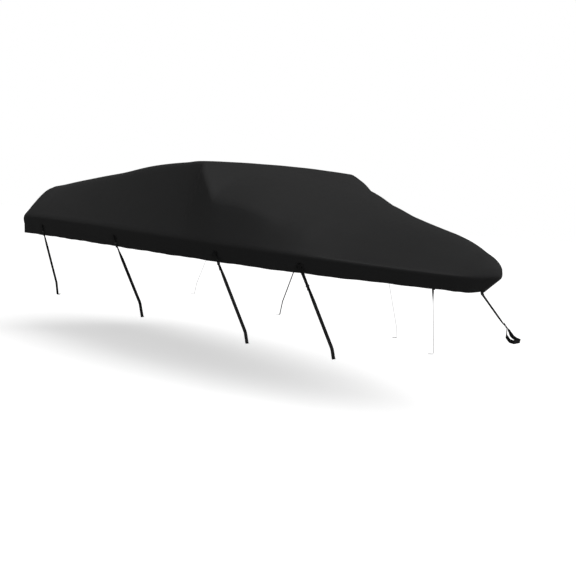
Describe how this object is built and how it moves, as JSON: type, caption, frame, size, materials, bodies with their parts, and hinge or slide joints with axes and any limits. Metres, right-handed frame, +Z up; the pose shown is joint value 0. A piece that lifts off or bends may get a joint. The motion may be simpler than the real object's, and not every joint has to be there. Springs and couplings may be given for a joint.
{
  "type": "boat cover",
  "caption": "Fitted woven cover for a small open boat, tented over a raised ridge, with a turned hem and webbing ties.",
  "frame": {"origin": "just under the cloth at the middle of the raised ridge, the highest place that carries the cover", "axes": "+X towards the nose of the cover, +Y to its port side, +Z up"},
  "size_m": [5.3664, 2.0796, 1.3697],
  "materials": {
    "cover_fabric": "close plain weave, matt, black",
    "webbing": "ribbed narrow webbing, matt, black",
    "slide_plastic": "moulded, satin, black"
  },
  "bodies": {
    "root": {"cover_cloth": "cover_fabric", "bar_starboard_1": "webbing", "bar_starboard_2": "webbing", "bar_starboard_3": "webbing", "bar_starboard_4": "webbing", "bar_port_1": "webbing", "bar_port_2": "webbing", "bar_port_3": "webbing", "bar_port_4": "webbing", "tie_starboard_1": "webbing", "tie_starboard_2": "webbing", "tie_starboard_3": "webbing", "tie_starboard_4": "webbing", "tie_port_1": "webbing", "tie_port_2": "webbing", "tie_port_3": "webbing", "tie_port_4": "webbing", "slide_starboard_1": "slide_plastic", "slide_starboard_2": "slide_plastic", "slide_starboard_3": "slide_plastic", "slide_starboard_4": "slide_plastic", "slide_port_1": "slide_plastic", "slide_port_2": "slide_plastic", "slide_port_3": "slide_plastic", "slide_port_4": "slide_plastic", "nose_tab": "cover_fabric", "nose_tie": "webbing"}
  },
  "joints": []
}
